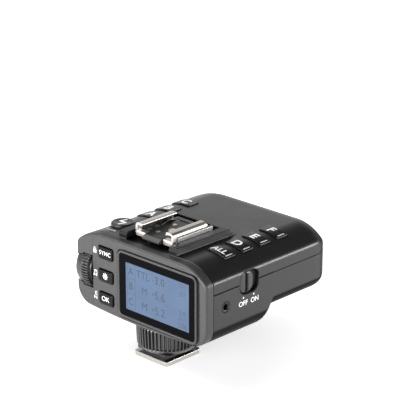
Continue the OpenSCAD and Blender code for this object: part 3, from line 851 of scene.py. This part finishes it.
GLASS_X, GLASS_Z, GLASS_W, GLASS_H = face_of(glass_low, glass_high)
PANEL_X, PANEL_Z, PANEL_W, PANEL_H = face_of(panel_low, panel_high)
PANEL_SEAM_X = -26.5
CURL_Z = 44.5
CURL_R = 4.2
rim_outline = grown(GLASS_W, GLASS_H, 1.6, 0.4, 8)
on_glass = on_rear(GLASS_X, GLASS_Z)


def cap_shell():
    """The hollow rear cap: inner skin, rim at the split, outer skin and the rounded rear edge."""
    edge_r = 1.1
    rim = SPLIT_Y - SPLIT_GAP
    rings = [station(REAR_Y + 2, WALL), station(rim, WALL), station(rim, SPLIT_IN),
             station(SPLIT_Y - SPLIT_ROLL)]
    rings += [station(y, inset) for inset, y in arc(edge_r, REAR_Y + edge_r, edge_r, 180, 270, 7)]
    return ring_object("rear_cap", rings)


def left_region(gap):
    """The part of the cap left of the fine seam that curls over at the top."""
    x = PANEL_SEAM_X - gap
    edge = [(-40, 10), (x, 10), (x, CURL_Z), *arc(x + CURL_R, CURL_Z, CURL_R, 180, 120, 8)[1:],
            (x + 2.6, 60), (-40, 60)]
    return prism("left_region", edge, "Y", REAR_Y - 2, SPLIT_Y + 2)


def rear_cap():
    """The cap, in two parts with a fine seam between them, and its openings."""
    shell = cap_shell()
    frame_hole = loft("frame_hole", rim_outline, [(1, 1), (1, -3)], on_glass)
    cutters = [frame_hole, dial_cutter()]
    cutters += [hole(lambda o: rear_key_outline(o + KEY_GAP), rear_of(node), 3, 0.2) for node in REAR_KEYS]
    boolean(shell, join("cap_cutters", cutters))
    groove = loft("groove", grown(GLASS_W + 3.8, GLASS_H + 2.9, 3.0),
                  [(0.1, 1), (0.1, 0.0), (0, -0.12), (0, -0.9)], on_rear(GLASS_X + 0.6, GLASS_Z + 0.1))
    boolean(shell, groove)
    left = new_object("dial_cover_shell", shell.data.copy())
    boolean(left, left_region(0.05), "INTERSECT")
    boolean(shell, left_region(-0.05))
    shell.name = "rear_cover_shell"
    place(shell, CAP, "cap_plastic", replaces=["rear_cover"])
    place(left, CAP, "cap_plastic", replaces=["dial_cover"])


REAR_KEYS = {"sync_key": "SYNC", "lamp_key": "", "ok_key": "OK"}
rear_key_outline = grown(8.2, 4.8, 0.9, 0.1, 5)


def height_out(node):
    """How far a node stands out of the rear face."""
    return REAR_Y - node_box(node)[0].y


def rear_key(node):
    out = height_out(node)
    levels = [(0, -2.6), (0, out - 0.55), (-0.1, out - 0.2), (-0.3, out - 0.04), (-0.55, out),
              (-1.2, out - 0.03), (-1.8, out - 0.05), (-2.3, out - 0.06)]
    piece = loft(node + "_cap", rear_key_outline, levels, rear_of(node))
    place(piece, REAR_KEY, "key_plastic", node, [node])


# ---------- display ----------

def display_frame():
    """Rounded rim that stands round the glass."""
    out = height_out("display_frame")
    levels = [(1.0, -2), (1.0, out - 0.45), (0.93, out - 0.2), (0.78, out - 0.05), (0.55, out),
              (0.3, out - 0.03), (0.12, out - 0.12), (0.0, out - 0.3), (0.0, -2)]
    piece = loft("display_rim", rim_outline, levels, on_glass, closed=True)
    place(piece, CAP, "cap_plastic", replaces=["display_frame"])


def display_border():
    """Glossy cover with its black printed border and the clear opening over the panel."""
    front = 0.02
    cover = loft("display_border", lambda o: rim_outline(o - 0.02),
                 [(0, -0.3), (0, front - 0.12), (-0.1, front), (-0.6, front)], on_glass)
    opening = shifted(rounded(PANEL_W, PANEL_H, 0.25, 3), PANEL_X, PANEL_Z)
    boolean(cover, prism("opening", opening, "Y", REAR_Y - 1, REAR_Y + 2))
    place(cover, BORDER, "display_glass", replaces=["display_glass"])


def lcd_panel():
    piece = loft("lcd_face", lambda o: rounded(PANEL_W + 2 * o, PANEL_H + 2 * o, 0.2, 3),
                 [(-0.02, -1.8), (-0.02, -0.06), (-0.06, -0.02), (-1.0, -0.02)], on_rear(PANEL_X, PANEL_Z))
    place(piece, LCD, "lcd", replaces=["lcd_panel"])


def lcd_marks():
    """Readout: three group rows with mode and value, and small symbols on the right."""
    lift = lambda u, v, h: (panel_low.x + u, REAR_Y + 0.02 - h, panel_low.z + v)
    rows = (16.6, 10.3, 3.9)
    symbol_x = 30.9
    dark = []
    for v, letter, mode, value in zip(rows, "ABC", ("TTL", "M", "M"), ("-3.0", "+5.6", "+5.2")):
        mode_u = 9.6 if len(mode) > 1 else 10.4
        words = ((letter, 2.9, 2.9), (mode, 2.9, mode_u), (value[1:], 3.2, 18.8), (value[0], 2.0, 15.2))
        for word, size, u in words:
            dark.append(moved(text_shape(word, size), u, v))
    bars = [(3.0, v, 4.6, 0.22) for v in (19.6, 13.4, 7.1, 0.8)]
    bars += [(u, 10.2, 0.22, 18.9) for u in (0.8, 5.3)]
    bars += [(symbol_x - 1.0, v, 1.3, 0.3) for v in (8.1, 7.4, 6.7, 6.0)]
    bars.append((symbol_x + 1.0, 7.1, 0.9, 1.7))
    bars += [(symbol_x + u, 1.8, 0.6, 0.9) for u in (-0.2, 0.65, 1.5)]
    pale = [moved(bar_shape(width, height), u, v) for u, v, width, height in bars]
    for word, size, spacing, v in (("CH", 1.8, 1.0, 18.2), ("01", 2.3, 1.0, 14.9), ("INT", 1.4, 1.1, 4.5)):
        pale.append(moved(text_shape(word, size, spacing), symbol_x, v))
    battery = [(-1.9, -0.8), (1.9, -0.8), (1.9, 0.8), (-1.9, 0.8), (-1.9, -0.8)]
    pale.append(moved(stroke_shape(battery, 0.3), symbol_x + 0.2, 1.8))
    place(mark("lcd_readout", merged(dark), lift, 0.012, 0.01), SEGMENT, "lcd")
    place(mark("lcd_symbols", merged(pale), lift, 0.010, 0.008), SEGMENT_PALE, "lcd")


# ---------- marks on the rear face ----------

def padlock_shape():
    body = moved(bar_shape(1.5, 1.15), 0, -0.5)
    bow = [(-0.45, 0.1), (-0.45, 0.5), *arc(0, 0.5, 0.45, 180, 0, 8), (0.45, 0.1)]
    return merged([body, stroke_shape(bow, 0.26)])


def note_shape():
    heads = [moved(disc_shape(0.36), u, -0.8) for u in (-0.5, 0.6)]
    stems = [moved(bar_shape(0.2, 1.7), u, 0.0) for u in (-0.24, 0.86)]
    return merged([*heads, *stems, moved(bar_shape(1.3, 0.42), 0.31, 0.8)])


def sun_shape():
    rays = []
    for i in range(8):
        turn = math.radians(45 * i)
        rays.append(moved(bar_shape(1.0, 0.36), 1.0 * math.cos(turn), 1.0 * math.sin(turn), 45 * i))
    return merged([*rays, disc_shape(0.49)])


def rear_marks():
    """A word or a sun on each rear key, and an icon to its left."""
    for node, words in REAR_KEYS.items():
        shape = moved(sun_shape(), 0, 0, 0, 0.95)
        if words:
            shape = text_shape(words, 2.0 if len(words) < 3 else 1.7, 1.08)
        label = mark(node + "_print", shape, rear_of(node), height_out(node) + 0.005, 0.05)
        place(label, GLOWING_PRINT, "lamp", node)
    x = node_centre("sync_key").x - 6.3
    icons = (padlock_shape(), note_shape(), moved(text_shape("Zm", 1.45, 1.05), 0, 0, 90))
    for node, icon in zip(REAR_KEYS, icons):
        lift = on_rear(x, node_centre(node).z)
        place(mark(node + "_icon", moved(icon, 0, 0, 0, 1.15), lift), GLOWING_PRINT, "lamp")


# ---------- keys on top ----------

def top_key(node, x, y):
    """A group key with its letters and, on the side away from the shoe, its light."""
    top = 0.58
    levels = [(0, -3.2), (0, 0.1), (0, top - 0.09), (-0.03, top - 0.03), (-0.09, top),
              (-1.2, top), (-2.0, top), (-2.9, top)]
    piece = loft(node + "_cap", key_outline, levels, on_top(x, y))
    place(piece, KEY, "key_plastic", node, [node])
    words = TOP_KEYS[node]
    outer = 1 if x > 0 else -1
    label = text_shape(words, 3.9, 1.0, 0.025)
    if len(words) > 1:
        label = text_shape(words, 2.9, 1.06, 0.015)
    letters = mark(node + "_print", moved(label, -0.8 * outer, 0), on_top(x, y), top + 0.04, 0.08, 0.4)
    place(letters, GLOWING_PRINT, "lamp", node)
    light = filled(rounded(0.4, 3.8, 0.16, 3))
    place(mark(node + "_light", light, on_top(x + outer * 3.95, y), top + 0.05, 0.1), LAMP, "lamp", node)


def test_key():
    """The round key with its bolt."""
    centre = node_centre("test_key")
    foot = surface_z(centre.x)
    top = node_box("test_key")[1].z - foot
    lift = on_level(centre.x, centre.y, foot)
    levels = [(0, -3.5), (0, top - 0.75), (-0.12, top - 0.35), (-0.4, top - 0.1), (-0.8, top - 0.02),
              (-1.6, top - 0.1), (-2.6, top - 0.18), (-3.8, top - 0.2)]
    piece = loft("test_key_cap", grown_circle(TEST_R), levels, lift)
    place(piece, KEY, "key_plastic", "test_key", ["test_key"])
    bolt = stroke_shape([(-0.7, 3.2), (-1.5, 0.15), (1.5, 0.15), (0.5, -3.2)], 0.85)
    place(mark("test_key_print", bolt, lift, top - 0.1, 0.12), GLOWING_PRINT, "lamp", "test_key")


def status_lamp():
    piece = loft("status_light", lambda o: rounded(5.4 + 2 * o, 0.7 + 2 * o, 0.3),
                 [(0, -2.5), (0, -0.02), (-0.08, 0.04), (-0.2, 0.06)], top_of("status_lamp"))
    place(piece, LAMP, "lamp", replaces=["status_lamp"])


# ---------- flash shoe ----------

RAIL_FLOOR_Z = rail_high.z - 3.3
RAIL_WALL = 1.0
FLANGE_X = 4.9


def rail_outline():
    """Section of the right-hand rail: floor flange, wall, rounded shoulder and lip."""
    outer, top = rail_high.x, rail_high.z
    base = RAIL_FLOOR_Z - RAIL_WALL
    shoulder_r, lip_r = 1.6, 0.45
    lip = 6.4
    return [(FLANGE_X, base), (outer, base), (outer, top - shoulder_r),
            *arc(outer - shoulder_r, top - shoulder_r, shoulder_r, 0, 90, 10)[1:],
            *arc(lip + lip_r, top - lip_r, lip_r, 90, 270, 8), (outer - RAIL_WALL, top - 2 * lip_r),
            (outer - RAIL_WALL, RAIL_FLOOR_Z), (FLANGE_X, RAIL_FLOOR_Z)]


def shoe_rails():
    """Two rails, and at the rear of their floor flanges the tabs that fold down."""
    rear, floor = rail_low.y, RAIL_FLOOR_Z
    rails = []
    for side in (1, -1):
        rail = prism("rail", [(x * side, z) for x, z in rail_outline()], "Y", rear + 0.3, rail_high.y)
        notch = box_outline(side * 4.5, side * (rail_high.x - RAIL_WALL), floor - 1.5, floor + 0.02)
        boolean(rail, prism("tab_notch", notch, "Y", rear - 1, rear + 2))
        rails.append(bevel(rail, 0.12, 2, 40))
    tab = [(rear + 2.1, floor - RAIL_WALL), (rear + 2.1, floor), (rear + 0.5, floor),
           *arc(rear + 0.6, floor - 0.6, 0.6, 90, 180, 5)[1:], (rear, floor - 2.0),
           (rear + 0.9, floor - 2.0), (rear + 0.9, floor - RAIL_WALL)]
    for side in (1, -1):
        rails.append(bevel(prism("tab", tab, "X", side * FLANGE_X, side * 9.9), 0.12, 2, 40))
    place(join("shoe_rails_bright", rails), CHROME, "chrome", replaces=["shoe_rails"])


def shoe_bracket():
    """A strip across the shoe with its ends turned up."""
    low, high = node_box("shoe_bracket")
    outer, thick, corner = high.x, 0.8, 0.3
    floor = 50.2
    right = [(outer, floor), (outer, high.z - corner), (outer - corner, high.z), (outer - thick, high.z),
             (outer - thick, floor + 0.9)]
    piece = prism("shoe_bracket_strip", mirrored(right), "Y", low.y, high.y, 0.12, 2)
    place(piece, STEEL, "steel", replaces=["shoe_bracket"])


def shoe_plate():
    """Black contact plate with its rear ramp and the liner that stands inside the rails."""
    low, high = node_box("shoe_plate")
    side = [(low.y, low.z), (low.y, high.z - 1.2), (low.y + 1.7, high.z), (high.y, high.z),
            (high.y, high.z - 1), (-5, high.z - 1), (-5, low.z)]
    piece = prism("contact_plate", side, "X", low.x, high.x, 0.2, 3)
    inner, outer = 8.95, 9.3
    lip = rail_high.z - 1.05
    channel = mirrored([(outer, high.z - 0.7), (outer, lip), (inner, lip), (inner, high.z + 0.03)])
    boolean(piece, prism("liner", channel, "Y", -4.4, rail_high.y - 0.3), "UNION")
    holes = []
    for x, y, r in CONTACTS:
        holes.append(prism("hole", shifted(circle(r + 0.12, 32), x, y), "Z", high.z - 0.95, high.z + 1))
    boolean(piece, join("plate_holes", holes))
    place(piece, BLACK, "shoe_plastic", replaces=["shoe_plate"])


# Place and radius of each contact: a large one in the middle and two small pairs
CONTACTS = [(0, 2.8, 1.6)]
for contact_x in (-2.6, 2.6):
    CONTACTS += [(contact_x, -2.4, 0.95), (contact_x * 1.3, 7.6, 0.95)]


def shoe_contacts():
    top = node_box("shoe_plate")[1].z
    levels = [(1, -0.6), (1, -0.04), (0.93, 0.04), (0.75, 0.06), (0.3, 0.07)]
    discs = []
    for x, y, r in CONTACTS:
        discs.append(loft("disc", lambda k: circle(r * k, 32), levels, on_level(x, y, top)))
    place(join("contact_discs", discs), GOLD, "gold", replaces=["shoe_contacts"])


def shoe_spring():
    """Two bowed leaves joined by a cross bar in front."""
    low, high = node_box("shoe_spring")
    base = low.z
    thick = 0.3
    wave = [(low.y + 7.9 * i / 16, base + 0.78 * math.sin(math.pi * i / 16) ** 2) for i in range(17)]
    path = wave + [(low.y + 8.6, base), (high.y, base)]
    side = path + [(y, z + thick) for y, z in reversed(path)]
    leaves = [prism("leaf", side, "X", centre - 0.9, centre + 0.9, 0.08, 2) for centre in (-7.6, 7.6)]
    bar = prism("bar", box_outline(-6.6, 6.6, base, base + thick), "Y", high.y - 2.0, high.y, 0.08, 2)
    place(join("shoe_leaf_spring", leaves + [bar]), SPRING, "steel", replaces=["shoe_spring"])


# ---------- foot and lock ring ----------

def cut_corners(half_w, half_l, rear, front):
    """A rectangle with its corners cut off, by different amounts at the rear and the front."""
    return mirrored([(half_w - rear, -half_l), (half_w, -half_l + rear),
                     (half_w, half_l - front), (half_w - front, half_l)])


def foot_plate():
    """Bright plate with cut corners, four countersunk holes and an opening in the middle."""
    outline = cut_corners(foot_high.x, foot_high.y, 0.9, 1.3)
    piece = prism("foot_plate_bright", outline, "Z", foot_low.z, foot_high.z, 0.22, 3)
    cutters = [prism("opening", shifted(rounded(12.2, 8.2, 1), 0, -1.2), "Z", -1, 5)]
    levels = [(1.45, -0.5), (1.45, 0.0), (0.78, 0.72), (0.78, 3)]
    for x in (-4.4, 4.4):
        for y in (-7, 7):
            cutters.append(loft("screw_seat", lambda r: circle(r, 32), levels, on_level(x, y, 0)))
    boolean(piece, join("foot_cutters", cutters))
    place(piece, SHADED_FOOT_CHROME, "chrome", replaces=["foot_plate"])


def ribbed_rings(levels, ribs, steps, duty):
    """Rings whose radius dips between ribs; levels are (radius, depth of the grooves, height).

    Each rib has a number of steps, and duty is the share of a rib's width that its groove takes.
    """
    rings = []
    for radius, depth, height in levels:
        ring = []
        for i in range(ribs * steps):
            phase = (i % steps) / steps
            wave = 0.5 - 0.5 * math.cos(2 * math.pi * phase)
            dip = depth * min(1, max(0, (wave - 1 + duty) / duty * 1.6))
            a = 2 * math.pi * i / (ribs * steps)
            ring.append(((radius - dip) * math.cos(a), (radius - dip) * math.sin(a), height))
        rings.append(ring)
    return rings


def lock_ring():
    """Ribbed ring with a recess in its underside for the foot's post."""
    r = ring_high.x
    low, high = ring_low.z, ring_high.z
    bore, recess = POST_HOLE_R, 10.1
    levels = [(bore, 0, low + 0.95), (recess, 0, low + 0.9), (recess, 0, low + 0.1), (recess + 0.1, 0, low),
              (r - 1.7, 0, low + 0.03), (r - 1.5, 0, low + 0.2),
              (r - 0.62, 0, low + 1.35), (r - 0.5, 0, low + 1.55), (r - 0.47, 0.1, low + 1.75),
              (r - 0.45, 0.85, low + 2.1), (r - 0.22, 0.95, low + 6), (r - 0.05, 0.95, high - 1.5),
              (r - 0.08, 0.6, high - 1.1), (r - 0.3, 0.15, high - 0.6), (r - 0.6, 0, high - 0.15),
              (r - 1.0, 0, high), (bore + 0.4, 0, high), (bore, 0, high - 0.3)]
    piece = ring_object("lock_ring_ribbed", ribbed_rings(levels, 48, 12, 0.7), closed=True)
    place(piece, RING, "ring_plastic", "lock_ring", ["lock_ring"], 40)


def clamp_plate():
    """Plate with a round boss and a square hole for the neck."""
    low, high = node_box("clamp_plate")
    outline = cut_corners(high.x - 0.7, 9.2, 1.6, 2.6)
    plate = prism("clamp_plate_black", outline, "Z", low.z, low.z + 0.95, 0.15, 2)
    boolean(plate, prism("boss", circle(9.85, 64), "Z", low.z + 0.6, high.z), "UNION")
    boolean(plate, prism("neck_hole", box_outline(-6.25, 6.25, -8.65, 8.65), "Z", low.z - 1, high.z + 1))
    place(plate, BLACK, "shoe_plastic", "clamp_plate", ["clamp_plate"])


# ---------- dial, switch, jack ----------

def select_dial():
    """Thumb wheel: flat inner face, band of ribs and domed outer face with a shallow dish."""
    r = DIAL_R
    levels = [(0.6, 0, 0.0), (r - 1.8, 0, 0.0), (r - 1.5, 0, 0.2), (r - 1.4, 0, 0.75),
              (r - 0.5, 0.1, 0.8), (r - 0.08, 0.55, 1.1), (r, 0.6, 1.4), (r, 0.6, 4.0), (r - 0.12, 0.45, 4.4),
              (r - 0.4, 0.05, 4.75), (r - 0.5, 0, 5.1), (r - 0.55, 0, 5.6), (r - 0.65, 0, 6.6),
              (r - 0.85, 0, 7.6), (r - 1.25, 0, 8.4), (r - 1.9, 0, 8.95), (r - 3.0, 0, 9.2),
              (r - 4.6, 0, 8.95), (r - 7.5, 0, 8.85), (0.6, 0, 8.85)]
    lift = on_left(dial_centre.y, dial_centre.z, -27.0)
    rings = [[lift(*point) for point in ring] for ring in ribbed_rings(levels, 56, 8, 0.55)]
    piece = ring_object("dial_wheel", rings)
    place(piece, DIAL, "knob_plastic", "select_dial", ["select_dial"], 40)


def power_knob():
    """Slide knob: a convex oval with a dark slot and a raised thumb rib."""
    y = (knob_low.y + knob_high.y) / 2
    z = SWITCH_Z
    width, height = knob_high.y - knob_low.y, knob_high.z - knob_low.z
    levels = [(0, -2.6), (0, -1.0), (-0.15, -0.65), (-0.5, -0.4), (-1.2, -0.22), (-2.2, -0.12), (-3.4, -0.1)]
    knob = loft("power_knob_cap", grown(width, height, 3.3, 0.3, 8), levels, on_right(y, z))
    slot = shifted(rounded(1.3, height - 1.0, 0.4, 4), y - 0.35, z)
    boolean(knob, prism("slot", slot, "X", HALF_W - 1.9, HALF_W + 1))
    rib = loft("rib", grown(0.8, height - 1.9, 0.38, 0.08, 4),
               [(0.1, -0.9), (0.05, 0.0), (-0.08, 0.2), (-0.25, 0.27)], on_right(y + 0.75, z - 0.1))
    boolean(knob, rib, "UNION")
    place(knob, KNOB, "knob_plastic", "power_knob", ["power_knob"])


def switch_pocket():
    """Dark cup behind the knob, seen in the open end of the slot."""
    levels = [(0.45, -1.7), (0.45, -3.0), (-0.2, -3.0), (-0.2, -2.6)]
    cup = loft("switch_pocket", switch_outline, levels, on_right(SWITCH_Y, SWITCH_Z))
    place(cup, INNER, "inner_plastic")


def sync_jack():
    """Round collar of the jack and its bore."""
    levels = [(2.15, -2.5), (2.15, -0.1), (2.0, 0.06), (1.78, 0.1), (1.6, 0.05), (1.5, -0.15), (1.3, -0.25),
              (1.25, -0.4), (1.25, -6)]
    piece = loft("sync_jack_collar", circle, levels, right_of("sync_socket"))
    place(piece, BLACK, "knob_plastic", replaces=["sync_socket"])


def side_marks():
    """Words and dots at the two places of the switch."""
    for y, words in ((5.2, "OFF"), (11.6, "ON")):
        label = mark("switch_" + words.lower(), text_shape(words, 2.0, 1.0, 0.01), on_right(y, 30.7))
        place(label, GLOWING_PRINT, "lamp")
    for y in (5.2, 11.1):
        place(mark("switch_dot_%d" % y, disc_shape(0.38), on_right(y, 32.95)), GLOWING_PRINT, "lamp")


def front_window():
    centre = node_centre("front_window")
    levels = [(0, -2.1), (0, -0.6), (-0.2, -0.3), (-0.8, -0.1), (-2.0, -0.06), (-3.3, -0.05)]
    piece = loft("front_window_lens", grown(16, 7, 2, 0.2), levels, on_front(centre.z))
    place(piece, RED, "red_window", replaces=["front_window"])


def screw_heads():
    """Cross-slotted heads in the four case screws' counterbores."""
    levels = [(1.0, 20), (1.0, 18.3), (1.9, 18.3), (1.9, 17.5), (1.75, 17.2), (1.3, 17.05), (0.5, 17.0)]
    slot_l, slot_w = 1.1, 0.2
    heads = []
    for x, y in CASE_SCREWS:
        head = loft("head", lambda r: circle(r, 32), levels, on_level(x, y, 0))
        for half_x, half_y in ((slot_l, slot_w), (slot_w, slot_l)):
            slot = box_outline(x - half_x, x + half_x, y - half_y, y + half_y)
            boolean(head, prism("slot", slot, "Z", 16, 17.8))
        heads.append(head)
    place(join("case_screw_heads", heads), STEEL, "steel")


# ---------- stage ----------

def area_light(name, place_mm, target_mm, size, power):
    data = bpy.data.lights.new(name, "AREA")
    data.shape = "RECTANGLE"
    data.size, data.size_y = size
    data.energy = power
    lamp = new_object(name, data)
    lamp.location = Vector(place_mm) * MM
    lamp.rotation_euler = (Vector(target_mm) - Vector(place_mm)).to_track_quat("-Z", "Y").to_euler()


def sky():
    """White studio walls up to a quarter of the way, under a dim ceiling."""
    world = bpy.data.worlds.new("studio")
    bpy.context.scene.world = world
    world.use_nodes = True
    tree = world.node_tree
    parts = add_node(tree, "ShaderNodeSeparateXYZ", Vector=coordinates(tree, "Generated"))
    feed(tree.nodes["Background"], Color=ramp(tree, parts.outputs["Z"], 1.0, 0.05, 0.38, 0.54))


FLOOR_SIZE = 1500


def stage():
    """A pale floor that glows a little less under the object, a painted shadow, with the sky and three soft
    lights.
    """
    material, tree, shader = node_material("floor")
    pale = ramp(tree, noise(tree, 3.0), 0.86, 0.88)
    distance = add_node(tree, "ShaderNodeVectorMath", Vector=coordinates(tree))
    distance.operation = "LENGTH"
    # Painted shadow: the floor's glow falls from full strength 100 mm out to 0.62 within 40 mm of the middle,
    # a contact shadow painted under the object.
    glow = ramp(tree, distance.outputs["Value"], 0.62, 1.0, 0.04, 0.10)
    feed(shader, Base_Color=pale, Emission_Color=pale, Emission_Strength=glow, Roughness=0.9)
    corners = box_outline(-FLOOR_SIZE, FLOOR_SIZE, -FLOOR_SIZE, FLOOR_SIZE)
    floor = mesh_object("floor", [(x, y, cad_box[0].z / MM) for x, y in corners], [(0, 1, 2, 3)])
    floor.data.materials.append(material)
    bpy.context.scene.view_settings.view_transform = "Standard"
    sky()
    area_light("edge_light", (430, 430, 135), (0, 20, 40), (0.30, 0.12), 1.7)
    area_light("rear_light", (-40, -520, 75), (0, 0, 25), (0.5, 0.14), 3.6)
    area_light("top_light", (-350, -150, 620), (0, 60, 0), (0.5, 0.5), 3.0)


def camera():
    data = bpy.data.cameras.new("camera")
    data.lens = 163.8
    data.sensor_width = 36
    data.clip_start = 0.01
    data.clip_end = 20
    view = new_object("camera", data)
    view.location = Vector((470.6, -469.6, 304.1)) * MM
    view.rotation_euler = (math.radians(70.23), 0, math.radians(43.95))
    bpy.context.scene.camera = view


# ---------- build ----------

camera()
stage()
dress_nodes()

whole_case = case_shell()
top_cover(whole_case)
bottom_case(whole_case)
battery_door(whole_case)
remove(whole_case)
shoe_guard()
rear_cap()

display_frame()
display_border()
lcd_panel()
lcd_marks()
for key in REAR_KEYS:
    rear_key(key)
rear_marks()
for key, key_x, key_y in key_spots():
    top_key(key, key_x, key_y)
test_key()
status_lamp()

shoe_rails()
shoe_bracket()
shoe_plate()
shoe_contacts()
shoe_spring()

foot_plate()
lock_ring()
clamp_plate()

select_dial()
power_knob()
switch_pocket()
sync_jack()
side_marks()
front_window()
screw_heads()
